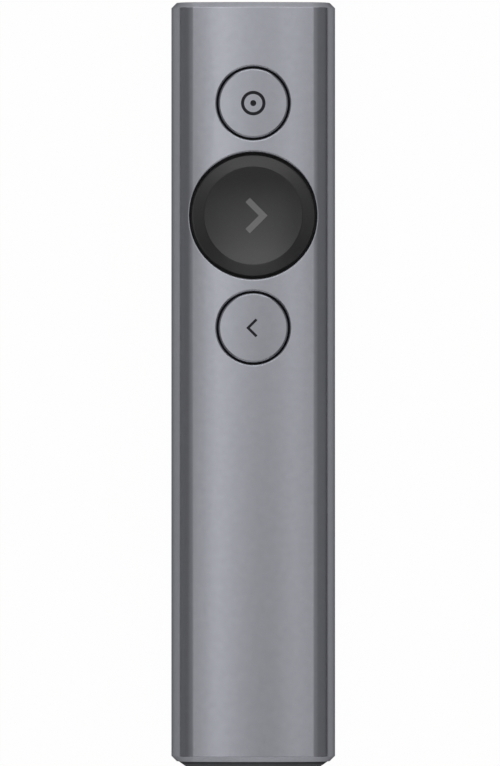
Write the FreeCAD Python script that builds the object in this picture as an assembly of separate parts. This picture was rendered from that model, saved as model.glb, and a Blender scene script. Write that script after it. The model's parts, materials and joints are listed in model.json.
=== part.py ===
import FreeCAD, Part
import math
import os

from FreeCAD import Vector

# A slim handset for stepping through slides, lying on its back. Y runs along it towards the nose,
# X across it, Z up through its button face. The origin is the centre of the flat back. Millimetres.

# Metal tube
tube_length = 130.6
tube_width = 28.2
tube_height = 11.9
tube_wall = 1.2
front_radius = 60.0
back_radius = 40.0
side_radius = 4.5
land_width = 10.0
tube_end_bevel = 0.9
hole_chamfer = 0.22

# Buttons
pointer_from_nose = 17.4
button_pitch = 19.3
button_travel = 0.4
small_cap_radius = 6.0
small_cap_gap = 0.3
small_cap_chamfer = 0.22
next_cap_radius = 10.52
next_cap_gap = 0.38
next_rim_drop = 0.5
next_rim_bevel = 0.2
next_crest_radius = 8.4
next_crest_proud = 0.2
next_crest_bevel = 0.15
next_dish_depth = 1.1
next_cap_skin = 1.1
post_radius = 1.3
clip_width = 2.6
clip_thickness = 0.8
clip_reach = 0.5
clip_height = 0.8
clip_gap = 0.05
clip_inset = 1.4
guide_gap = 0.15

# Plastic carrier inside the tube
carrier_gap = 0.15
tray_floor = 0.9
tray_rail = 1.0
deck_drop = 1.7
deck_thickness = 1.0
press_margin = 0.3
end_gap = 0.1
nose_wall = 1.0
bay_wall = 1.2
board_ledge = 1.6
screw_post_radius = 1.4
screw_inset_x = 5.05
screw_from_end = 5.0
screw_radius = 0.6
screw_head_radius = 1.1
screw_head_height = 0.5
screw_length = 4.0
screw_gap = 0.05

# End caps
cap_gap = 0.06
nose_cap_thickness = 1.6
nose_cap_recess = 0.3
nose_cap_bevel = 0.3
tail_cap_thickness = 2.6
tail_cap_proud = 0.9
tail_cap_bevel = 0.45
tail_cap_corner = 1.4
cap_tab_end_gap = 0.3
cap_tab_thickness = 0.8
cap_tab_length = 3.0
cap_tab_gap = 0.06

# Circuit board and what it carries
board_thickness = 0.8
board_side_gap = 0.2
board_end_gap = 0.3
switch_size = 4.6
switch_height = 1.9
switch_corner = 0.5
switch_floor = 0.4
stem_radius = 1.0
stem_gap = 0.06
stem_proud = 0.8
chip_height = 0.9
controller_size = 6.0
sensor_width = 2.5
sensor_length = 3.0
crystal_width = 2.0
crystal_length = 3.2
charger_size = 2.4
chip_space = 1.6
antenna_width = 7.0
antenna_depth = 2.0
antenna_height = 1.2
antenna_from_nose = 0.4
led_width = 2.0
led_depth = 1.0
led_height = 1.4
light_pipe_radius = 0.7
light_pipe_gap = 0.08

# Battery
battery_width = 17.0
battery_round = 0.8
battery_top_gap = 0.25
battery_from_socket = 3.0
battery_from_clips = 2.0
pad_thickness = 0.4
pad_inset = 1.0

# Charge socket at the bottom of the receiver bay
socket_width = 8.94
socket_height = 3.26
socket_wall = 0.3
socket_length = 7.35
socket_gap = 0.1
tongue_width = 6.7
tongue_thickness = 0.7
tongue_length = 4.45
socket_base_length = 1.6

# Plug-in receiver and its bay
receiver_width = 14.4
receiver_height = 6.8
receiver_head_length = 7.0
receiver_corner = 1.6
receiver_edge_bevel = 0.4
receiver_gap = 0.2
receiver_end_gap = 1.0
plug_width = 12.0
plug_height = 4.5
plug_wall = 0.3
plug_length = 12.4
plug_corner = 0.4
plug_grip = 3.0
plug_window = 2.3
plug_window_from_end = 5.2
plug_window_from_middle = 2.7
insert_gap = 0.05
insert_height = 1.9
contact_width = 1.0
contact_length = 7.5
contact_height = 0.12
contact_pitch = 2.3
contact_count = 4
receiver_board_width = 10.5
receiver_board_length = 5.0
receiver_board_thickness = 0.8
nail_groove_width = 9.0
nail_groove_height = 1.2
nail_groove_depth = 0.6

# Places that follow from the sizes
overall_length = tube_length + tail_cap_proud
nose_end = overall_length / 2
tail_end = -overall_length / 2
tube_tail = nose_end - tube_length
pointer_y = nose_end - pointer_from_nose
next_y = pointer_y - button_pitch
back_y = next_y - button_pitch
corner_x = tube_width / 2 - side_radius
front_centre_z = tube_height - front_radius
front_corner_z = front_centre_z + math.sqrt((front_radius - side_radius) ** 2 - corner_x ** 2)
back_reach = corner_x - land_width / 2
back_corner_z = back_radius - math.sqrt((back_radius - side_radius) ** 2 - back_reach ** 2)
carrier_inset = tube_wall + carrier_gap
middle_z = tube_height / 2
small_hole_radius = small_cap_radius + small_cap_gap
next_hole_radius = next_cap_radius + next_cap_gap
nose_cap_inner = nose_end - nose_cap_recess - nose_cap_thickness
tail_cap_inner = tail_end + tail_cap_thickness
tray_nose = nose_cap_inner - end_gap
tray_tail = tail_cap_inner + end_gap
bay_width = receiver_width + 2 * receiver_gap
bay_height = receiver_height + 2 * receiver_gap
bay_end = tail_end + receiver_head_length + plug_length + receiver_end_gap
cavity_tail = bay_end + bay_wall
cavity_nose = tray_nose - nose_wall
floor_top = carrier_inset + tray_floor
board_top = middle_z - socket_height / 2
board_bottom = board_top - board_thickness
board_tail = cavity_tail + board_end_gap
board_nose = cavity_nose - board_end_gap
deck_top = tube_height - tube_wall - deck_drop
deck_bottom = deck_top - deck_thickness
cap_underside = deck_top + button_travel + press_margin
switch_top = board_top + switch_height
stem_top = switch_top + stem_proud
clip_top = deck_bottom - clip_gap
clip_foot = clip_top - clip_height
small_clip_radius = small_cap_radius - clip_inset
next_clip_radius = next_crest_radius + clip_thickness / 2
screw_x = tube_width / 2 - screw_inset_x
screw_places_y = [board_tail + screw_from_end, board_nose - screw_from_end]
socket_inner_end = bay_end + socket_length
battery_tail = socket_inner_end + battery_from_socket
battery_length = back_y - small_clip_radius - clip_reach - battery_from_clips - battery_tail


def arc_edge(centre_x, centre_z, radius, start_degrees, end_degrees, y):
    """Arc in the plane at y, with its angles counted from +X towards +Z."""
    points = []
    for angle in (start_degrees, (start_degrees + end_degrees) / 2, end_degrees):
        turn = math.radians(angle)
        points.append(Vector(centre_x + radius * math.cos(turn), y, centre_z + radius * math.sin(turn)))
    return Part.Arc(*points).toShape()


def section_wire(inset, y):
    """The tube's rounded section at y, moved inward by inset: a crowned front and a flat-footed back."""
    front_turn = math.degrees(math.atan2(front_corner_z - front_centre_z, corner_x))
    back_turn = math.degrees(math.atan2(back_corner_z - back_radius, back_reach))
    land = land_width / 2
    side = tube_width / 2 - inset
    corner = side_radius - inset
    edges = [
        arc_edge(land, back_radius, back_radius - inset, -90, back_turn, y),
        arc_edge(corner_x, back_corner_z, corner, back_turn, 0, y),
        Part.makeLine(Vector(side, y, back_corner_z), Vector(side, y, front_corner_z)),
        arc_edge(corner_x, front_corner_z, corner, 0, front_turn, y),
        arc_edge(0, front_centre_z, front_radius - inset, front_turn, 180 - front_turn, y),
        arc_edge(-corner_x, front_corner_z, corner, 180 - front_turn, 180, y),
        Part.makeLine(Vector(-side, y, front_corner_z), Vector(-side, y, back_corner_z)),
        arc_edge(-corner_x, back_corner_z, corner, 180, 180 - back_turn, y),
        arc_edge(-land, back_radius, back_radius - inset, 180 - back_turn, 270, y),
        Part.makeLine(Vector(-land, y, inset), Vector(land, y, inset)),
    ]
    return Part.Wire(edges)


def section_bar(inset, start_y, end_y):
    """Solid bar with the tube's section between two places along the tube."""
    face = Part.Face(section_wire(inset, start_y))
    return face.extrude(Vector(0, end_y - start_y, 0))


def half_width(inset, z):
    """Half of the section's width at height z, between the middles of its side rounds."""
    rise = max(z - front_corner_z, back_corner_z - z, 0)
    return corner_x + math.sqrt((side_radius - inset) ** 2 - rise ** 2)


def block(width, length, height, centre_x, start_y, start_z):
    """Box centred on centre_x that starts at start_y and start_z."""
    return Part.makeBox(width, length, height, Vector(centre_x - width / 2, start_y, start_z))


def upright(radius, start_z, end_z, x, y):
    return Part.makeCylinder(radius, end_z - start_z, Vector(x, y, start_z))


def along(radius, start_y, end_y, x, z):
    return Part.makeCylinder(radius, end_y - start_y, Vector(x, start_y, z), Vector(0, 1, 0))


def rounded_bar(width, height, corner, start_y, end_y, centre_z):
    """Bar along the tube with a round-cornered rectangle as its section."""
    bar = block(width, end_y - start_y, height, 0, start_y, centre_z - height / 2)
    return bar.makeFillet(corner, edges_where(bar, runs_along))


def runs_along(edge):
    """An edge that runs along the tube."""
    box = edge.BoundBox
    return box.YLength > box.XLength + box.ZLength


def edges_where(shape, test):
    return [edge for edge in shape.Edges if test(edge)]


def at_place(y):
    """Test for an edge that lies in the plane at y."""
    return lambda edge: abs(edge.BoundBox.YMin - y) < 1e-4 and abs(edge.BoundBox.YMax - y) < 1e-4


def round_a_button(radius, y, low_z):
    """Test for an edge on an upright cylinder about a button's axis, above low_z."""
    def test(edge):
        middle = edge.valueAt((edge.FirstParameter + edge.LastParameter) / 2)
        points = [middle] + [vertex.Point for vertex in edge.Vertexes]
        level = all(abs(math.hypot(point.x, point.y - y) - radius) < 1e-3 for point in points)
        return level and edge.BoundBox.ZMin > low_z
    return test


def revolved(points, x, y):
    """Solid turned from radius and height pairs about the upright axis at x and y."""
    corners = [Vector(radius, 0, z) for radius, z in points]
    face = Part.Face(Part.makePolygon(corners + corners[:1]))
    turned = face.revolve(Vector(0, 0, 0), Vector(0, 0, 1), 360)
    turned.translate(Vector(x, y, 0))
    return turned


def mouth_bar(start_y, end_y):
    """The space that the receiver slides through."""
    return rounded_bar(bay_width, bay_height, receiver_corner + receiver_gap, start_y, end_y, middle_z)


def stadium_bar(width, height, start_y, end_y, centre_z):
    """Bar along the tube with full round sides."""
    reach = (width - height) / 2
    core = block(2 * reach, end_y - start_y, height, 0, start_y, centre_z - height / 2)
    left = along(height / 2, start_y, end_y, -reach, centre_z)
    right = along(height / 2, start_y, end_y, reach, centre_z)
    return core.fuse([left, right]).removeSplitter()


def tube_shell():
    """Drawn tube with bevelled ends and three chamfered button holes."""
    bar = section_bar(0, tube_tail, nose_end)
    ends = edges_where(bar, at_place(tube_tail)) + edges_where(bar, at_place(nose_end))
    bar = bar.makeChamfer(tube_end_bevel, ends)
    holes = [(small_hole_radius, pointer_y), (next_hole_radius, next_y), (small_hole_radius, back_y)]
    for radius, y in holes:
        bar = bar.cut(upright(radius, middle_z, tube_height + 1, 0, y))
        bar = bar.makeChamfer(hole_chamfer, edges_where(bar, round_a_button(radius, y, middle_z + 1)))
    return bar.cut(section_bar(tube_wall, tube_tail - 1, nose_end + 1))


def cap_tabs(root_y, tip_y, gap):
    """Two flat tabs that join an end cap to the tray, one on each side of the middle."""
    near = min(root_y, tip_y)
    length = abs(tip_y - root_y)
    tabs = []
    for side in (-1, 1):
        x = side * (half_width(carrier_inset, middle_z) - tray_rail - cap_tab_thickness / 2 - cap_tab_gap)
        low = board_top + cap_tab_end_gap - gap
        high = deck_bottom - cap_tab_end_gap + gap
        tabs.append(block(cap_tab_thickness + 2 * gap, length, high - low, x, near, low))
    return tabs


def nose_cap():
    """Radio window that closes the nose, set back a little in the tube."""
    outer = nose_end - nose_cap_recess
    plate = section_bar(tube_wall + cap_gap, nose_cap_inner, outer)
    plate = plate.makeChamfer(nose_cap_bevel, edges_where(plate, at_place(outer)))
    plate = plate.fuse(cap_tabs(nose_cap_inner, nose_cap_inner - cap_tab_length, 0))
    bore = along(light_pipe_radius + light_pipe_gap, nose_cap_inner - 1, nose_end, 0, light_pipe_z())
    return plate.cut(bore).removeSplitter()


def tail_cap():
    """Cap at the tail that stands a little proud of the tube round the receiver's mouth."""
    plug = section_bar(tube_wall + cap_gap, tail_end, tail_cap_inner)
    plug = plug.makeChamfer(tail_cap_bevel, edges_where(plug, at_place(tail_end)))
    half = tube_width / 2 - tube_wall - cap_gap
    plan = [
        Vector(-half, tail_cap_inner, 0),
        Vector(-half, tube_tail, 0),
        Vector(tail_cap_corner - half, tail_end, 0),
        Vector(half - tail_cap_corner, tail_end, 0),
        Vector(half, tube_tail, 0),
        Vector(half, tail_cap_inner, 0),
    ]
    outline = Part.Face(Part.makePolygon(plan + plan[:1]))
    plug = plug.common(outline.extrude(Vector(0, 0, tube_height)))
    plug = plug.fuse(cap_tabs(tail_cap_inner, tail_cap_inner + cap_tab_length, 0))
    return plug.cut(mouth_bar(tail_end - 1, tail_cap_inner + 1)).removeSplitter()


def screw_places():
    return [(side * screw_x, y) for y in screw_places_y for side in (-1, 1)]


def tray():
    """Open channel with ledges for the board, screw posts, a nose wall and the receiver's bay."""
    channel = section_bar(carrier_inset, tray_tail, tray_nose)
    hollow = section_bar(carrier_inset + tray_rail, cavity_tail, cavity_nose)
    half = half_width(carrier_inset + tray_rail, board_bottom) - board_ledge
    ledges = block(tube_width, tube_length, board_bottom, 0, tail_end, 0)
    between = block(2 * half, tube_length, board_bottom, 0, tail_end, floor_top)
    channel = channel.cut(hollow.cut(ledges.cut(between)))
    above = block(tube_width, tray_nose - cavity_tail + 1, tube_height, 0, cavity_tail, deck_bottom)
    channel = channel.cut(above)
    channel = channel.cut(mouth_bar(tray_tail - 1, bay_end))
    channel = channel.cut(socket_outline(bay_end - 1, cavity_tail + 1, socket_gap))
    posts = [upright(screw_post_radius, floor_top - tray_floor / 2, deck_bottom, x, y) for x, y in screw_places()]
    channel = channel.fuse(posts)
    for x, y in screw_places():
        channel = channel.cut(upright(screw_radius + screw_gap, board_bottom, deck_bottom + 1, x, y))
    for slot in cap_tabs(tray_nose + 1, nose_cap_inner - cap_tab_length - end_gap, cap_tab_gap):
        channel = channel.cut(slot)
    for slot in cap_tabs(tray_tail - 1, tail_cap_inner + cap_tab_length + end_gap, cap_tab_gap):
        channel = channel.cut(slot)
    pipe_hole = along(light_pipe_radius + light_pipe_gap, cavity_nose - 1, tray_nose + 1, 0, light_pipe_z())
    return channel.cut(pipe_hole).removeSplitter()


def button_deck():
    """Plate over the board that guides the three buttons and holds their clips."""
    bar = section_bar(carrier_inset, cavity_tail + end_gap, tray_nose)
    plate = bar.common(block(tube_width, tube_length, deck_thickness, 0, tail_end, deck_bottom))
    guides = [(small_clip_radius, pointer_y), (next_clip_radius, next_y), (small_clip_radius, back_y)]
    for radius, y in guides:
        plate = plate.cut(upright(radius + guide_gap, deck_bottom - 1, deck_top + 1, 0, y))
    for x, y in screw_places():
        plate = plate.cut(upright(screw_radius + screw_gap, deck_bottom - 1, deck_top + 1, x, y))
    return plate


def deck_screws():
    """Round-headed screws that clamp the deck on the posts."""
    screws = []
    for x, y in screw_places():
        points = [
            (0, deck_top - screw_length),
            (screw_radius, deck_top - screw_length),
            (screw_radius, deck_top),
            (screw_head_radius, deck_top),
            (screw_head_radius, deck_top + screw_head_height),
            (0, deck_top + screw_head_height),
        ]
        screws.append(revolved(points, x, y))
    return Part.makeCompound(screws)


def clip_legs(clip_radius, root_z, y, crossed):
    """Two springy legs with hooks that catch under the deck, or four where they are crossed."""
    inner = clip_radius - clip_thickness
    points = [
        (inner, root_z),
        (clip_radius, root_z),
        (clip_radius, clip_top),
        (clip_radius + clip_reach, clip_top),
        (clip_radius + clip_reach, clip_top - clip_height / 3),
        (clip_radius, clip_foot),
        (inner, clip_foot),
    ]
    ring = revolved(points, 0, y)
    span = 4 * clip_radius
    legs = block(clip_width, span, tube_height, 0, y - span / 2, 0)
    if crossed:
        legs = legs.fuse(block(span, clip_width, tube_height, 0, y - clip_width / 2, 0))
    return ring.common(legs)


def actuator_post(root_z, y):
    return upright(post_radius, stem_top, root_z, 0, y)


def small_button(y):
    """Metal cap whose top follows the tube, with a post and clips below."""
    cap = upright(small_cap_radius, cap_underside, tube_height + 1, 0, y)
    bar = section_bar(0, y - 2 * small_cap_radius, y + 2 * small_cap_radius)
    cap = cap.common(bar)
    rim = edges_where(cap, round_a_button(small_cap_radius, y, cap_underside + 1e-3))
    rim = [edge for edge in rim if edge.BoundBox.ZLength < tube_wall]
    cap = cap.makeChamfer(small_cap_chamfer, rim)
    legs = clip_legs(small_clip_radius, cap_underside + small_cap_chamfer, y, False)
    return cap.fuse([legs, actuator_post(cap_underside + small_cap_chamfer, y)]).removeSplitter()


def next_button():
    """Large cap with a sloping border and a ball-shaped dish, turned about its own axis."""
    crest_z = tube_height + next_crest_proud
    rim_z = tube_height - next_rim_drop
    dish_z = crest_z - next_dish_depth
    ceiling_z = dish_z - next_cap_skin
    skirt = next_clip_radius + guide_gap
    points = [
        (0, ceiling_z),
        (0, crest_z),
        (next_crest_radius, crest_z),
        (next_crest_radius + next_crest_bevel, crest_z - next_crest_bevel / 2),
        (next_cap_radius - next_rim_bevel, rim_z),
        (next_cap_radius, rim_z - next_rim_bevel),
        (next_cap_radius, cap_underside),
        (skirt, cap_underside),
        (skirt, ceiling_z),
    ]
    cap = revolved(points, 0, next_y)
    dish_radius = (next_crest_radius ** 2 + next_dish_depth ** 2) / (2 * next_dish_depth)
    ball = Part.makeSphere(dish_radius, Vector(0, next_y, dish_z + dish_radius), Vector(1, 0, 0))
    cap = cap.cut(ball)
    root_z = ceiling_z + next_cap_skin / 4
    legs = clip_legs(next_clip_radius, root_z, next_y, True)
    return cap.fuse([legs, actuator_post(root_z, next_y)]).removeSplitter()


def switch(y):
    """Low push switch with cut corners and a bore for its stem."""
    housing = block(switch_size, switch_size, switch_height, 0, y - switch_size / 2, board_top)
    upright_edges = edges_where(housing, lambda edge: edge.BoundBox.ZLength > switch_height / 2)
    housing = housing.makeChamfer(switch_corner, upright_edges)
    return housing.cut(upright(stem_radius + stem_gap, board_top + switch_floor, switch_top + 1, 0, y))


def switch_stem(y):
    start = board_top + switch_floor + button_travel + press_margin
    return upright(stem_radius, start, stem_top, 0, y)


def main_board():
    """Long board that rests on the ledges of the tray."""
    half = half_width(carrier_inset + tray_rail, board_bottom) - board_side_gap
    board = block(2 * half, board_nose - board_tail, board_thickness, 0, board_tail, board_bottom)
    for x, y in screw_places():
        board = board.cut(upright(screw_post_radius + board_side_gap, board_bottom - 1, board_top + 1, x, y))
    return board


def chip(width, length, x, y):
    return block(width, length, chip_height, x, y - length / 2, board_top)


def control_chips():
    """Controller between the pointer and next switches, a sensor and a crystal beside it, a charger."""
    middle_y = (pointer_y + next_y) / 2
    sensor_x = -(controller_size + sensor_width) / 2 - chip_space
    crystal_x = (controller_size + crystal_width) / 2 + chip_space
    charger_y = socket_inner_end + charger_size / 2
    return Part.makeCompound([
        chip(controller_size, controller_size, 0, middle_y),
        chip(sensor_width, sensor_length, sensor_x, middle_y),
        chip(crystal_width, crystal_length, crystal_x, middle_y),
        chip(charger_size, charger_size, 0, charger_y),
    ])


def chip_antenna():
    start = board_nose - antenna_from_nose - antenna_depth
    x = -half_width(carrier_inset + tray_rail, board_bottom) / 2
    return block(antenna_width, antenna_depth, antenna_height, x, start, board_top)


def light_pipe_z():
    return board_top + led_height / 2


def status_led():
    return block(led_width, led_depth, led_height, 0, board_nose - led_depth, board_top)


def light_pipe():
    """Clear rod from the lamp to the face of the nose cap."""
    return along(light_pipe_radius, board_nose + light_pipe_gap, nose_end - nose_cap_recess, 0, light_pipe_z())


def battery():
    """Flat pouch cell between the board and the deck."""
    start = board_top + pad_thickness
    height = deck_bottom - battery_top_gap - start
    cell = block(battery_width, battery_length, height, 0, battery_tail, start)
    return cell.makeFillet(battery_round, edges_where(cell, runs_along))


def battery_pad():
    width = battery_width - 2 * battery_round - 2 * pad_inset
    length = battery_length - 2 * pad_inset
    return block(width, length, pad_thickness, 0, battery_tail + pad_inset, board_top)


def socket_outline(start_y, end_y, gap):
    return stadium_bar(socket_width + 2 * gap, socket_height + 2 * gap, start_y, end_y, middle_z)


def charge_socket_shell():
    """Folded steel sleeve of the charge socket."""
    sleeve = socket_outline(bay_end, socket_inner_end, 0)
    return sleeve.cut(socket_outline(bay_end - 1, socket_inner_end + 1, -socket_wall))


def charge_socket_tongue():
    """Moulded base at the back of the sleeve with its flat contact tongue."""
    base_start = socket_inner_end - socket_base_length
    base = socket_outline(base_start, socket_inner_end, -socket_wall)
    tip = base_start - tongue_length
    tongue = block(tongue_width, tongue_length, tongue_thickness, 0, tip, middle_z - tongue_thickness / 2)
    return base.fuse(tongue).removeSplitter()


def receiver_head():
    """Grip end of the receiver, flush with the tail cap, with a groove for a fingernail."""
    inner = tail_end + receiver_head_length
    head = rounded_bar(receiver_width, receiver_height, receiver_corner, tail_end, inner, middle_z)
    head = head.makeChamfer(receiver_edge_bevel, edges_where(head, at_place(tail_end)))
    start_z = middle_z - nail_groove_height / 2
    groove = block(nail_groove_width, nail_groove_depth + 1, nail_groove_height, 0, tail_end - 1, start_z)
    head = head.cut(groove)
    pocket_length = plug_grip + receiver_board_length / 2
    pocket_width = plug_width + 2 * insert_gap
    pocket_height = plug_height + 2 * insert_gap
    pocket = rounded_bar(
        pocket_width, pocket_height, plug_corner + insert_gap, inner - pocket_length, inner + 1, middle_z
    )
    return head.cut(pocket)


def receiver_plug_shell():
    """Folded steel plug with the two square windows in its upper side."""
    inner = tail_end + receiver_head_length
    start = inner - plug_grip
    tip = inner + plug_length
    sleeve = rounded_bar(plug_width, plug_height, plug_corner, start, tip, middle_z)
    bore_width = plug_width - 2 * plug_wall
    bore_height = plug_height - 2 * plug_wall
    sleeve = sleeve.cut(block(bore_width, tip - start + 2, bore_height, 0, start - 1, middle_z - bore_height / 2))
    window_y = tip - plug_window_from_end - plug_window
    for side in (-1, 1):
        x = side * plug_window_from_middle
        sleeve = sleeve.cut(block(plug_window, plug_window, plug_height, x, window_y, middle_z))
    return sleeve


def insert_bottom():
    return middle_z - plug_height / 2 + plug_wall + insert_gap


def receiver_insert():
    """Plastic insert in the lower half of the plug that carries the contacts."""
    inner = tail_end + receiver_head_length
    width = plug_width - 2 * plug_wall - 2 * insert_gap
    length = plug_length - plug_wall
    return block(width, length, insert_height, 0, inner, insert_bottom())


def receiver_contacts():
    """Row of flat contacts on the insert, near the plug's tip."""
    tip = tail_end + receiver_head_length + plug_length - plug_wall
    start_z = insert_bottom() + insert_height
    contacts = []
    for number in range(contact_count):
        x = (number - (contact_count - 1) / 2) * contact_pitch
        contacts.append(block(contact_width, contact_length, contact_height, x, tip - contact_length - 1, start_z))
    return Part.makeCompound(contacts)


def receiver_board():
    """Small radio board in the grip end, behind the insert."""
    inner = tail_end + receiver_head_length
    start = inner - receiver_board_length
    return block(
        receiver_board_width, receiver_board_length, receiver_board_thickness, 0, start, insert_bottom()
    )


nodes = {
    "tube_shell": tube_shell(),
    "nose_cap": nose_cap(),
    "tail_cap": tail_cap(),
    "tray": tray(),
    "button_deck": button_deck(),
    "deck_screws": deck_screws(),
    "main_board": main_board(),
    "control_chips": control_chips(),
    "chip_antenna": chip_antenna(),
    "status_led": status_led(),
    "light_pipe": light_pipe(),
    "battery": battery(),
    "battery_pad": battery_pad(),
    "pointer_switch": switch(pointer_y),
    "next_switch": switch(next_y),
    "back_switch": switch(back_y),
    "pointer_switch_stem": switch_stem(pointer_y),
    "next_switch_stem": switch_stem(next_y),
    "back_switch_stem": switch_stem(back_y),
    "pointer_button": small_button(pointer_y),
    "next_button": next_button(),
    "back_button": small_button(back_y),
    "charge_socket_shell": charge_socket_shell(),
    "charge_socket_tongue": charge_socket_tongue(),
    "receiver_head": receiver_head(),
    "receiver_plug_shell": receiver_plug_shell(),
    "receiver_insert": receiver_insert(),
    "receiver_contacts": receiver_contacts(),
    "receiver_board": receiver_board(),
}

os.makedirs("parts", exist_ok=True)
for name, shape in nodes.items():
    shape.exportStep("parts/" + name + ".step")
    print(name, len(shape.Solids), round(shape.Volume, 2), shape.isValid())
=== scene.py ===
import json
import math

import bmesh
import bpy
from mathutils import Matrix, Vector


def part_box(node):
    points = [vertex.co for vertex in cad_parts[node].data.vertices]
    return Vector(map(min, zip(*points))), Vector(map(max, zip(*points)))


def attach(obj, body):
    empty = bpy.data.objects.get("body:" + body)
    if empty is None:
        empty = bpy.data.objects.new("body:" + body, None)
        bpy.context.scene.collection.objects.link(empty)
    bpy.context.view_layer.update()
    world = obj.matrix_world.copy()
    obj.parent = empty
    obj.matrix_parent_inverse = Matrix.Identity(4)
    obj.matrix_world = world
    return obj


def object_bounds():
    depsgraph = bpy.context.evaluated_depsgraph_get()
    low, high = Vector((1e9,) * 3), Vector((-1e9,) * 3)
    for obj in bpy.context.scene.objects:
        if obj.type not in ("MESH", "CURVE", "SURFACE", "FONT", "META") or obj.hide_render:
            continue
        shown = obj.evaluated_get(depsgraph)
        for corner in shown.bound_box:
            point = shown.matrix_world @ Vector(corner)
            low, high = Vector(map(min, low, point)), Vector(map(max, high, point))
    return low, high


# A slim metal handset for stepping through slides, seen from straight above. Lengths in metres.

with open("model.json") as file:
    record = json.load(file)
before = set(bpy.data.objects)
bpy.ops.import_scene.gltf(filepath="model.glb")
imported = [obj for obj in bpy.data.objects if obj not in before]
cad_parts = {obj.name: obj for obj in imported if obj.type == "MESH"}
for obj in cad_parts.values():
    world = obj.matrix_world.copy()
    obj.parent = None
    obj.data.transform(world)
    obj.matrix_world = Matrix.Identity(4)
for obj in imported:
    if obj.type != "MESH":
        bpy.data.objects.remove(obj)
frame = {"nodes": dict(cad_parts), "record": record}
solid_low, solid_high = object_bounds()
MM = 0.001

# The photo's frame and where the metal tube lies in it, in pixels
PHOTO_WIDTH = 500
PHOTO_HEIGHT = 766
TUBE_TOP_PX = 1.75
TUBE_BOTTOM_PX = 762.3
BODY_CENTRE_PX = 253.25

# The camera: its height over the back, the width of its film and what it can see
CAMERA_HEIGHT = 1.6
FILM_WIDTH = 36.0
NEAREST_SEEN = 0.01
FARTHEST_SEEN = 20.0

# Marks on the buttons, read from the photo
RING_RADIUS = 1.83 * MM
RING_STROKE = 0.55 * MM
DOT_RADIUS = 0.52 * MM
NEXT_ARROW_TIP = 2.46 * MM
NEXT_ARROW_HEIGHT = 6.1 * MM
NEXT_ARROW_STROKE = 1.06 * MM
BACK_ARROW_TIP = -1.22 * MM
BACK_ARROW_HEIGHT = 3.25 * MM
BACK_ARROW_STROKE = 0.46 * MM

# How the marks lie on the buttons: the pinhole in the dot's middle, how far they stand out, how thick
# they are, how far above the tube their places are probed from, and how close two equal points lie
DOT_HOLE_RADIUS = 0.0104 * MM
MARK_LIFT = 0.012 * MM
MARK_DEPTH = 0.02 * MM
PROBE_CLEARANCE = 10 * MM
SAME_POINT = 1e-8

# How much of the blasted metal's reflection is left at grazing angles
EDGE_TINT = 0.45

# Radius to which the blasted metal's sharp edges are broken, and the smaller one at the tube's ends
EDGE_BREAK = 0.26 * MM
END_BREAK = 0.14 * MM
END_REACH = 2.5 * MM

# Where the two colours of a material's fine mottling start and end on the noise
TINT_START = 0.3
TINT_END = 0.7

# The floor: how much of its look is plain white, seen directly and in glossy surfaces, its paint,
# its reach each way and how far it lies under the handset
FLOOR_WHITE_SHARE = 0.98
FLOOR_GLOSSY_SHARE = 0.06
FLOOR_PAINT = (0.9, 0.9, 0.9, 1.0)
FLOOR_REACH = 3.0
FLOOR_DROP = 0.1 * MM

# Arched softbox: angles from upright in degrees, right positive, and the brightness there. Its strips
# are narrow within the fine reach, in degrees, and wider beyond it.
ARCH = [
    (-78, 0.17),
    (-66, 0.15),
    (-50, 0.14),
    (-41, 0.16),
    (-32, 0.26),
    (-24, 0.38),
    (-18, 0.42),
    (-16.5, 0.62),
    (-15, 1.12),
    (-12.5, 1.08),
    (-8, 0.79),
    (-2, 0.61),
    (4, 0.50),
    (9, 0.56),
    (13, 0.76),
    (16.5, 0.86),
    (19.5, 0.58),
    (24, 0.42),
    (32, 0.29),
    (42, 0.17),
    (54, 0.17),
    (66, 0.16),
    (78, 0.14),
]
ARCH_RADIUS = 1.0
ARCH_LENGTH = 1.05
ARCH_MIDDLE_Y = 0.325
ARCH_FINE_STEP = 2.0
ARCH_FINE_REACH = 21.0
ARCH_COARSE_STEP = 6.0

# Flat panels that face down over the nose's half: name, place, size and brightness
NOSE_PANELS = [
    ("nose_half", (0.03, 0.44, 0.98), (0.46, 0.82), 0.19),
    ("above_nose", (0.0, 0.60, 0.97), (0.80, 0.30), 1.30),
]

# Flat panels that face the handset from afar: name, place, size and brightness
FAR_PANELS = [
    ("above_tail", (0.0, -0.90, 0.80), (1.30, 0.40), 1.00),
    ("beyond_nose", (0.0, 0.95, 0.30), (1.30, 0.60), 1.30),
    ("beyond_tail", (0.0, -0.95, 0.20), (1.30, 0.40), 0.92),
    ("horizon_left", (-0.95, 0.0, 0.05), (1.20, 0.10), 0.50),
]
WORLD_STRENGTH = 0.08


def box_centre(node):
    """Middle of a node's box."""
    low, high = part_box(node)
    return (Vector(low) + Vector(high)) / 2


tube_low, tube_high = (Vector(corner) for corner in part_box("tube_shell"))


def make_camera():
    """Long lens straight above, with the tube where the photo has it."""
    centre_y = (tube_low.y + tube_high.y) / 2
    metres_per_pixel = (tube_high.y - tube_low.y) / (TUBE_BOTTOM_PX - TUBE_TOP_PX)
    view_height = PHOTO_HEIGHT * metres_per_pixel
    tube_middle_px = (TUBE_TOP_PX + TUBE_BOTTOM_PX) / 2
    data = bpy.data.cameras.new("camera")
    data.sensor_fit = "AUTO"
    data.sensor_width = FILM_WIDTH
    data.lens = FILM_WIDTH * (CAMERA_HEIGHT - tube_high.z) / view_height
    data.clip_start = NEAREST_SEEN
    data.clip_end = FARTHEST_SEEN
    camera = bpy.data.objects.new("camera", data)
    bpy.context.collection.objects.link(camera)
    x = (PHOTO_WIDTH / 2 - BODY_CENTRE_PX) * metres_per_pixel
    y = centre_y + (tube_middle_px - PHOTO_HEIGHT / 2) * metres_per_pixel
    camera.location = (x, y, CAMERA_HEIGHT)
    bpy.context.scene.camera = camera


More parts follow.
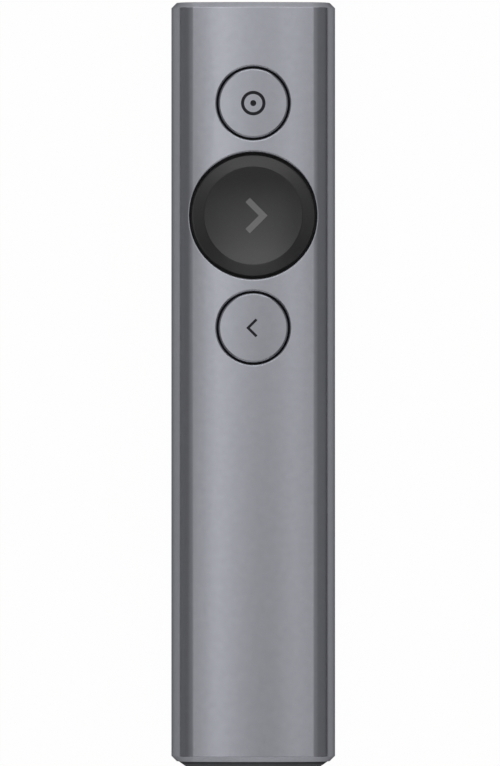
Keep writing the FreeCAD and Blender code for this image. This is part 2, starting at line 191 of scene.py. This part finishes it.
class Nodes:
    """Short way to build a node material."""

    def __init__(self, name):
        self.material = bpy.data.materials.new(name)
        self.material.use_nodes = True
        self.tree = self.material.node_tree
        self.shader = self.tree.nodes["Principled BSDF"]

    def add(self, kind, **values):
        """New node of the kind, with its own values set."""
        node = self.tree.nodes.new(kind)
        for key, value in values.items():
            setattr(node, key, value)
        return node

    def link(self, start, end):
        self.tree.links.new(start, end)

    def set(self, **values):
        """Plain values of the shader's inputs, with _ for a space in the name."""
        for key, value in values.items():
            self.shader.inputs[key.replace("_", " ")].default_value = value

    def place(self, scale=(1.0, 1.0, 1.0)):
        """Object coordinates in metres, stretched by scale."""
        coordinates = self.add("ShaderNodeTexCoord")
        mapping = self.add("ShaderNodeMapping")
        mapping.inputs["Scale"].default_value = scale
        self.link(coordinates.outputs["Object"], mapping.inputs["Vector"])
        return mapping.outputs["Vector"]

    def noise(self, where, scale, detail=4.0, roughness=0.6):
        """Fine random mottling between 0 and 1."""
        node = self.add("ShaderNodeTexNoise")
        node.inputs["Scale"].default_value = scale
        node.inputs["Detail"].default_value = detail
        node.inputs["Roughness"].default_value = roughness
        self.link(where, node.inputs["Vector"])
        return node.outputs["Fac"]

    def between(self, value, low, high, name):
        """Spreads a 0 to 1 value between low and high and drives the named input with it."""
        node = self.add("ShaderNodeMapRange")
        node.inputs["To Min"].default_value = low
        node.inputs["To Max"].default_value = high
        self.link(value, node.inputs["Value"])
        self.link(node.outputs["Result"], self.shader.inputs[name])

    def tint(self, value, low, high):
        """Mixes two base colours by value."""
        ramp = self.add("ShaderNodeValToRGB")
        start, end = ramp.color_ramp.elements
        start.color = (*low, 1.0)
        end.color = (*high, 1.0)
        start.position = TINT_START
        end.position = TINT_END
        self.link(value, ramp.inputs["Fac"])
        self.link(ramp.outputs["Color"], self.shader.inputs["Base Color"])

    def bump(self, value, strength, distance):
        """Makes value stand out as fine relief and returns the node."""
        node = self.add("ShaderNodeBump")
        node.inputs["Strength"].default_value = strength
        node.inputs["Distance"].default_value = distance
        self.link(value, node.inputs["Height"])
        self.link(node.outputs["Normal"], self.shader.inputs["Normal"])
        return node


def anodised(name, low, high, roughness):
    """Fine-blasted anodised aluminium with softly broken edges."""
    made = Nodes(name)
    made.set(Metallic=1.0, Specular_Tint=(EDGE_TINT, EDGE_TINT, EDGE_TINT, 1.0))
    where = made.place()
    made.tint(made.noise(where, scale=700.0), low, high)
    spread = 0.03
    patches = made.noise(where, scale=9000.0, detail=2.0)
    made.between(patches, roughness - spread, roughness + spread, "Roughness")
    axes = made.add("ShaderNodeSeparateXYZ")
    made.link(where, axes.inputs["Vector"])
    from_middle = made.add("ShaderNodeMath", operation="ABSOLUTE")
    made.link(axes.outputs["Y"], from_middle.inputs[0])
    at_end = made.add("ShaderNodeMath", operation="GREATER_THAN")
    at_end.inputs[1].default_value = tube_high.y - END_REACH
    made.link(from_middle.outputs[0], at_end.inputs[0])
    radius = made.add("ShaderNodeMath", operation="MULTIPLY_ADD")
    radius.inputs[1].default_value = END_BREAK - EDGE_BREAK
    radius.inputs[2].default_value = EDGE_BREAK
    made.link(at_end.outputs[0], radius.inputs[0])
    edges = made.add("ShaderNodeBevel", samples=8)
    made.link(radius.outputs[0], edges.inputs["Radius"])
    blasting = made.noise(where, scale=12000.0, detail=2.0)
    grain = made.bump(blasting, strength=0.10, distance=0.02 * MM)
    made.link(edges.outputs["Normal"], grain.inputs["Normal"])
    return made.material


def moulded(name, low, high, roughness, grain=6000.0, depth=0.2, specular=0.5):
    """Moulded plastic with a fine spark texture."""
    made = Nodes(name)
    made.set(Specular_IOR_Level=specular)
    where = made.place()
    made.tint(made.noise(where, scale=900.0), low, high)
    spread = 0.04
    sparks = made.noise(where, scale=grain, detail=3.0)
    made.between(sparks, roughness - spread, roughness + spread, "Roughness")
    made.bump(sparks, strength=depth, distance=0.03 * MM)
    return made.material


def plated(name, low, high, roughness):
    """Plated or folded metal with faint draw lines."""
    made = Nodes(name)
    made.set(Metallic=1.0)
    where = made.place(scale=(1.0, 0.04, 1.0))
    lines = made.noise(where, scale=9000.0, detail=3.0)
    made.tint(lines, low, high)
    spread = 0.06
    made.between(lines, roughness - spread, roughness + spread, "Roughness")
    made.bump(lines, strength=0.1, distance=0.01 * MM)
    return made.material


def circuit():
    """Solder mask with a faint pattern of tracks."""
    made = Nodes("circuit_board")
    made.set(Specular_IOR_Level=0.5)
    where = made.place()
    cells = made.add("ShaderNodeTexVoronoi", feature="DISTANCE_TO_EDGE", distance="MANHATTAN")
    cells.inputs["Scale"].default_value = 420.0
    made.link(where, cells.inputs["Vector"])
    tracks = made.add("ShaderNodeMapRange")
    tracks.inputs["From Max"].default_value = 0.12
    made.link(cells.outputs["Distance"], tracks.inputs["Value"])
    made.tint(tracks.outputs["Result"], (0.03, 0.22, 0.12), (0.01, 0.11, 0.06))
    made.between(made.noise(where, scale=4000.0), 0.28, 0.4, "Roughness")
    made.bump(tracks.outputs["Result"], strength=0.15, distance=0.03 * MM)
    return made.material


def clear_rod():
    """Clear moulded rod that carries the lamp's light."""
    made = Nodes("clear_pipe")
    made.set(Transmission_Weight=0.8, IOR=1.49)
    where = made.place()
    made.tint(made.noise(where, scale=1500.0), (0.86, 0.89, 0.92), (0.93, 0.95, 0.97))
    made.between(made.noise(where, scale=5000.0), 0.08, 0.16, "Roughness")
    return made.material


def paint(name, low, high):
    """Thin printed or etched mark."""
    made = Nodes(name)
    made.set(Specular_IOR_Level=0.3)
    where = made.place()
    made.tint(made.noise(where, scale=5000.0), low, high)
    made.between(made.noise(where, scale=9000.0), 0.5, 0.62, "Roughness")
    return made.material


def grey(level, blue=1.0):
    """Grey whose blue is scaled by blue."""
    return (level, level, level * blue)


MATERIALS = {
    "body_metal": anodised("body_metal", (0.39, 0.398, 0.438), (0.412, 0.42, 0.462), roughness=0.20),
    "key_metal": anodised("key_metal", (0.36, 0.368, 0.405), (0.381, 0.389, 0.428), roughness=0.18),
    "dark_key": moulded(
        "dark_key",
        grey(0.010, 1.05),
        grey(0.013, 1.05),
        roughness=0.38,
        grain=9000.0,
        depth=0.1,
        specular=0.9,
    ),
    "end_plastic": moulded("end_plastic", grey(0.045, 1.1), grey(0.055, 1.1), roughness=0.5),
    "receiver_plastic": moulded("receiver_plastic", grey(0.03, 1.1), grey(0.04, 1.1), roughness=0.45),
    "carrier_plastic": moulded("carrier_plastic", grey(0.05, 1.05), grey(0.065, 1.05), roughness=0.5),
    "screw_steel": plated("screw_steel", grey(0.48), grey(0.6), roughness=0.3),
    "circuit_board": circuit(),
    "chip_black": moulded("chip_black", grey(0.015), grey(0.025), roughness=0.5, grain=9000.0),
    "antenna_ceramic": moulded(
        "antenna_ceramic", (0.62, 0.6, 0.55), (0.7, 0.68, 0.63), roughness=0.4, grain=5000.0, depth=0.05
    ),
    "lamp": moulded("lamp", (0.75, 0.74, 0.66), (0.82, 0.81, 0.74), roughness=0.25, grain=5000.0, depth=0.02),
    "clear_pipe": clear_rod(),
    "cell_pouch": plated("cell_pouch", grey(0.5), grey(0.6), roughness=0.35),
    "pad_foam": moulded("pad_foam", grey(0.02), grey(0.035), roughness=0.85, grain=3000.0, depth=0.6),
    "switch_plastic": moulded("switch_plastic", grey(0.02), grey(0.03), roughness=0.5),
    "stem_plastic": moulded("stem_plastic", (0.6, 0.57, 0.5), (0.66, 0.63, 0.56), roughness=0.45),
    "plug_steel": plated("plug_steel", grey(0.55), grey(0.66), roughness=0.24),
    "insert_plastic": moulded("insert_plastic", grey(0.02), grey(0.03), roughness=0.4),
    "contact_gold": plated("contact_gold", (0.75, 0.52, 0.18), (0.85, 0.62, 0.26), roughness=0.22),
}
DARK_MARK = paint("dark_mark", (0.010, 0.010, 0.015), (0.016, 0.016, 0.022))
PALE_MARK = paint("pale_mark", grey(0.24), grey(0.27))


def dress_nodes():
    """Gives every node of the frame its procedural material."""
    slots = {entry["node"]: entry["material_slot"] for entry in frame["record"]["subparts"]}
    for name, node in frame["nodes"].items():
        for slot in node.material_slots:
            slot.material = MATERIALS[slots[name]]


def link_mesh(name, vertices, faces, material, body):
    """New piece of one material that rides on the body."""
    mesh = bpy.data.meshes.new(name)
    mesh.from_pydata(vertices, [], faces)
    mesh.materials.append(material)
    mesh.update()
    made = bpy.data.objects.new(name, mesh)
    bpy.context.collection.objects.link(made)
    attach(made, body)
    return made


def ray_height(node, x, y):
    """Height of a node's upper surface under x and y."""
    origin = Vector((x, y, tube_high.z + PROBE_CLEARANCE))
    hit, place, _, _ = frame["nodes"][node].ray_cast(origin, Vector((0, 0, -1)))
    return place.z if hit else tube_high.z


def lay_mark(name, outlines, node, body, material):
    """Lays flat grids on the node's surface as one thin closed mark."""
    vertices, faces = [], []
    for grid in outlines:
        rows, columns = len(grid), len(grid[0])
        start = len(vertices)
        for lift in (MARK_LIFT, MARK_LIFT - MARK_DEPTH):
            for row in grid:
                for x, y in row:
                    vertices.append((x, y, ray_height(node, x, y) + lift))
        size = rows * columns

        def index(level, row, column):
            return start + level * size + row * columns + column

        for row in range(rows - 1):
            for column in range(columns - 1):
                corners = [(row, column), (row, column + 1), (row + 1, column + 1), (row + 1, column)]
                faces.append([index(0, a, b) for a, b in corners])
                faces.append([index(1, a, b) for a, b in reversed(corners)])
        border = [(0, column) for column in range(columns)]
        border += [(row, columns - 1) for row in range(1, rows)]
        border += [(rows - 1, column) for column in range(columns - 2, -1, -1)]
        border += [(row, 0) for row in range(rows - 2, 0, -1)]
        for number, place in enumerate(border):
            after = border[(number + 1) % len(border)]
            faces.append([index(0, *after), index(0, *place), index(1, *place), index(1, *after)])
    made = link_mesh(name, vertices, faces, material, body)
    tidy = bmesh.new()
    tidy.from_mesh(made.data)
    bmesh.ops.remove_doubles(tidy, verts=tidy.verts, dist=SAME_POINT)
    bmesh.ops.recalc_face_normals(tidy, faces=tidy.faces)
    tidy.to_mesh(made.data)
    tidy.free()


def ring_grid(x, y, inner, outer, steps=96):
    """Rows round a ring from its inner to its outer edge."""
    rows = []
    for step in range(steps + 1):
        turn = 2 * math.pi * step / steps
        row = []
        for radius in (inner, (inner + outer) / 2, outer):
            row.append((x + radius * math.cos(turn), y + radius * math.sin(turn)))
        rows.append(row)
    return rows


def arrow_grids(tip_x, y, height, stroke, direction, steps=14):
    """Two square-ended bars at 45 degrees that meet in a mitre and point along direction."""
    reach = height / 2
    across = stroke / math.sqrt(2)
    inner_tip = tip_x - direction * stroke * math.sqrt(2)
    grids = []
    for side in (1, -1):
        outer_end = (tip_x - direction * reach, y + side * reach)
        inner_end = (outer_end[0] - direction * across, outer_end[1] - side * across)
        rows = []
        for step in range(steps + 1):
            share = step / steps
            outer = (tip_x + (outer_end[0] - tip_x) * share, y + (outer_end[1] - y) * share)
            inner = (inner_tip + (inner_end[0] - inner_tip) * share, y + (inner_end[1] - y) * share)
            middle = ((outer[0] + inner[0]) / 2, (outer[1] + inner[1]) / 2)
            rows.append([outer, middle, inner])
        grids.append(rows)
    return grids


def make_marks():
    """Ring and dot on the pointer button, an arrow on each of the others."""
    pointer = box_centre("pointer_button")
    ring = ring_grid(pointer.x, pointer.y, RING_RADIUS - RING_STROKE / 2, RING_RADIUS + RING_STROKE / 2)
    dot = ring_grid(pointer.x, pointer.y, DOT_HOLE_RADIUS, DOT_RADIUS, steps=40)
    lay_mark("pointer_mark", [ring, dot], "pointer_button", "pointer_key", DARK_MARK)
    middle = box_centre("next_button")
    arrow = arrow_grids(middle.x + NEXT_ARROW_TIP, middle.y, NEXT_ARROW_HEIGHT, NEXT_ARROW_STROKE, 1)
    lay_mark("next_mark", arrow, "next_button", "next_key", PALE_MARK)
    back = box_centre("back_button")
    arrow = arrow_grids(back.x + BACK_ARROW_TIP, back.y, BACK_ARROW_HEIGHT, BACK_ARROW_STROKE, -1)
    lay_mark("back_mark", arrow, "back_button", "back_key", DARK_MARK)


def make_floor():
    """Pale floor that reads as plain white where the camera sees it and keeps a trace of the shadow."""
    mesh = bpy.data.meshes.new("floor")
    ends = [(-1, -1), (1, -1), (1, 1), (-1, 1)]
    corners = [(x * FLOOR_REACH, y * FLOOR_REACH, 0) for x, y in ends]
    mesh.from_pydata(corners, [], [(0, 1, 2, 3)])
    floor = bpy.data.objects.new("floor", mesh)
    bpy.context.collection.objects.link(floor)
    made = Nodes("floor")
    made.set(Base_Color=FLOOR_PAINT, Roughness=0.8)
    path = made.add("ShaderNodeLightPath")
    direct = made.add("ShaderNodeMath", operation="MAXIMUM")
    made.link(path.outputs["Is Camera Ray"], direct.inputs[0])
    made.link(path.outputs["Is Transmission Ray"], direct.inputs[1])
    direct_share = made.add("ShaderNodeMath", operation="MULTIPLY")
    direct_share.inputs[1].default_value = FLOOR_WHITE_SHARE
    made.link(direct.outputs[0], direct_share.inputs[0])
    seen = made.add("ShaderNodeMath", operation="MULTIPLY_ADD")
    seen.inputs[1].default_value = FLOOR_GLOSSY_SHARE
    made.link(path.outputs["Is Glossy Ray"], seen.inputs[0])
    made.link(direct_share.outputs[0], seen.inputs[2])
    white = made.add("ShaderNodeEmission")
    white.inputs["Strength"].default_value = 1.0
    mix = made.add("ShaderNodeMixShader")
    made.link(seen.outputs[0], mix.inputs["Fac"])
    made.link(made.shader.outputs["BSDF"], mix.inputs[1])
    made.link(white.outputs["Emission"], mix.inputs[2])
    output = made.tree.nodes["Material Output"]
    made.link(mix.outputs["Shader"], output.inputs["Surface"])
    mesh.materials.append(made.material)
    floor.location.z = solid_low[2] - FLOOR_DROP


def area_light(name, place, size, radiance):
    """Even rectangle of light, given by the brightness that a mirror would show. It faces down."""
    data = bpy.data.lights.new(name, "AREA")
    data.shape = "RECTANGLE"
    data.size, data.size_y = size
    data.energy = radiance * math.pi * size[0] * size[1]
    lamp = bpy.data.objects.new(name, data)
    bpy.context.collection.objects.link(lamp)
    lamp.location = place
    return lamp


def arch_radiance(degrees):
    """Brightness of the arched softbox at an angle from upright, between the two nearest stations."""
    for (low, low_value), (high, high_value) in zip(ARCH, ARCH[1:]):
        if degrees <= high:
            share = (degrees - low) / (high - low)
            return low_value + (high_value - low_value) * share
    return ARCH[-1][1]


def make_arch():
    """Softbox bent over the handset in narrow strips, which the crown and the flanks mirror."""
    edge = ARCH[0][0]
    while edge < ARCH[-1][0]:
        step = ARCH_FINE_STEP if abs(edge + ARCH_FINE_STEP / 2) < ARCH_FINE_REACH else ARCH_COARSE_STEP
        middle = edge + step / 2
        turn = math.radians(middle)
        place = (ARCH_RADIUS * math.sin(turn), ARCH_MIDDLE_Y, ARCH_RADIUS * math.cos(turn))
        size = (2 * ARCH_RADIUS * math.tan(math.radians(step / 2)), ARCH_LENGTH)
        strip = area_light("arch", place, size, arch_radiance(middle))
        strip.rotation_euler = (0.0, turn, 0.0)
        edge += step


def make_lights():
    """The arch, brighter towards the nose, and panels beyond both ends and on the left horizon."""
    make_arch()
    for name, place, size, radiance in NOSE_PANELS:
        area_light(name, place, size, radiance)
    for name, place, size, radiance in FAR_PANELS:
        panel = area_light(name, place, size, radiance)
        panel.rotation_mode = "QUATERNION"
        panel.rotation_quaternion = (-Vector(place)).to_track_quat("-Z", "Y")
    world = bpy.data.worlds.new("world")
    bpy.context.scene.world = world
    world.use_nodes = True
    background = world.node_tree.nodes["Background"]
    background.inputs["Color"].default_value = (1.0, 1.0, 1.0, 1.0)
    background.inputs["Strength"].default_value = WORLD_STRENGTH


make_camera()
dress_nodes()
make_marks()
make_floor()
make_lights()
bpy.context.scene.view_settings.view_transform = "Standard"
